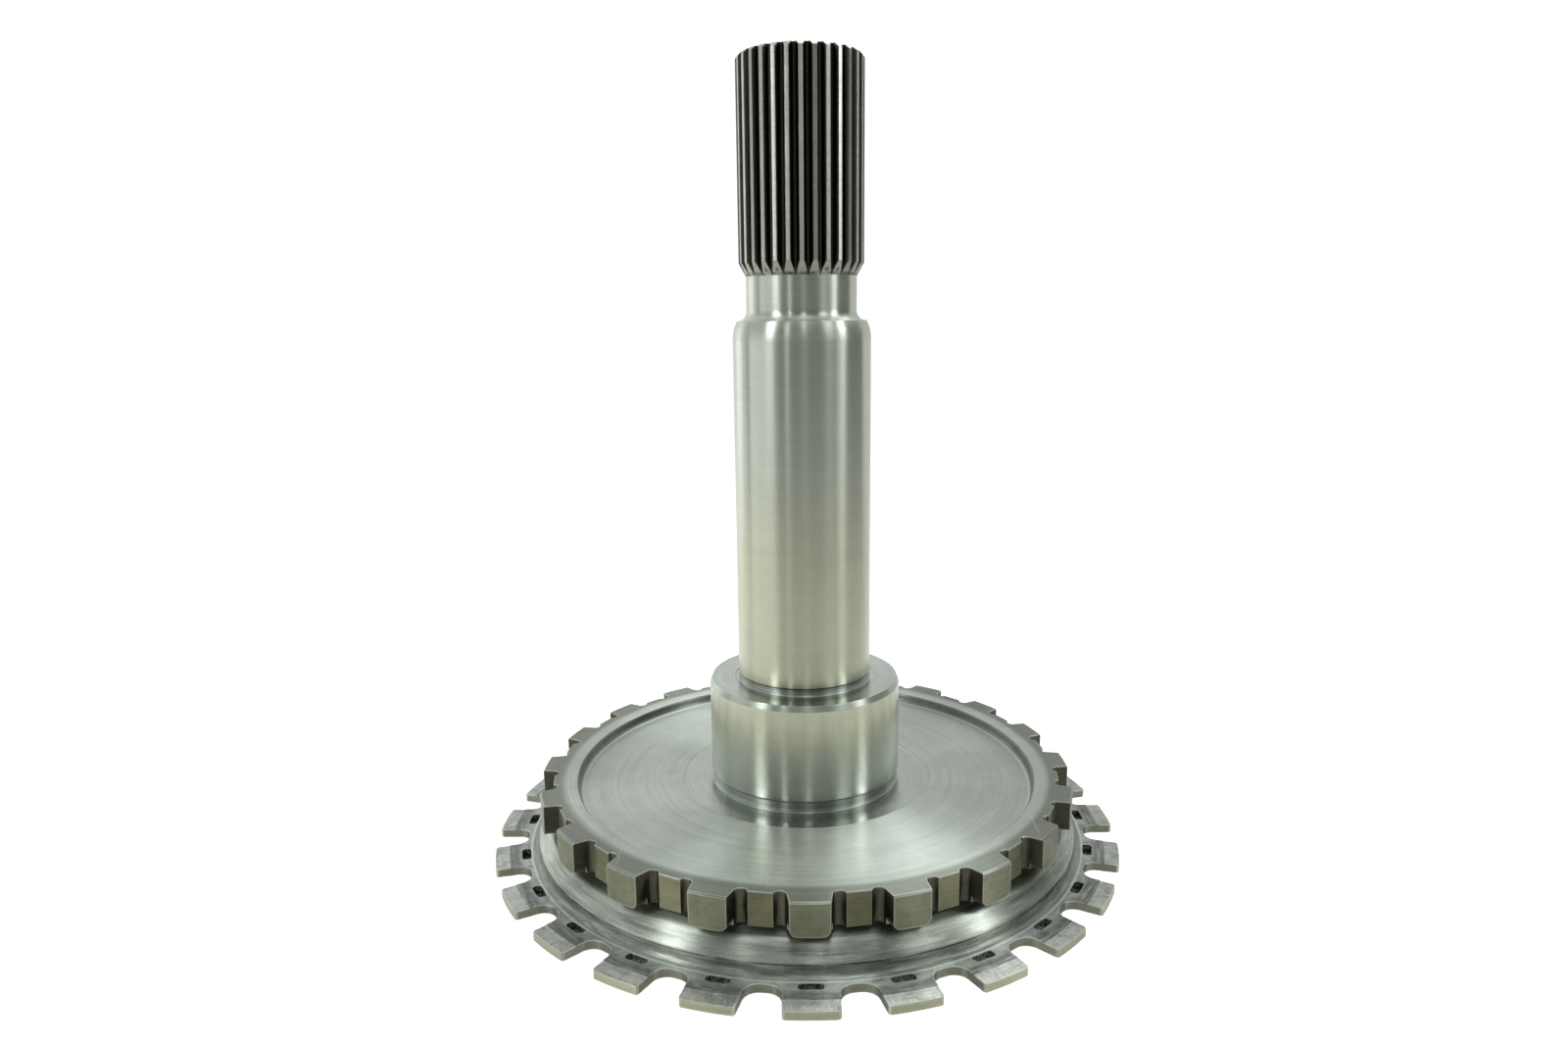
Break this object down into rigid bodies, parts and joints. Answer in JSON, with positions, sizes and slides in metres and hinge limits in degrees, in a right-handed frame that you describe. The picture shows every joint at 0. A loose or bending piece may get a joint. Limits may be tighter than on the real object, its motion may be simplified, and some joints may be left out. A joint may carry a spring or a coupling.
{
  "type": "transmission output shaft",
  "caption": "Transmission output shaft: splined end, long bearing journal, stepped hub, toothed disc with a sunk web, and a thin slotted flange below it.",
  "frame": {"origin": "on the axis, in the plane of the underside that the part stands on", "axes": "+Z along the shaft axis towards the splined end; -Y through the middle of one disc tooth and one flange tooth"},
  "size_m": [0.213, 0.213, 0.2564],
  "materials": {
    "steel": "turned and ground steel, satin to polished, darker in the spline grooves and tooth spaces"
  },
  "bodies": {
    "root": {"output_shaft": "steel"}
  },
  "joints": []
}
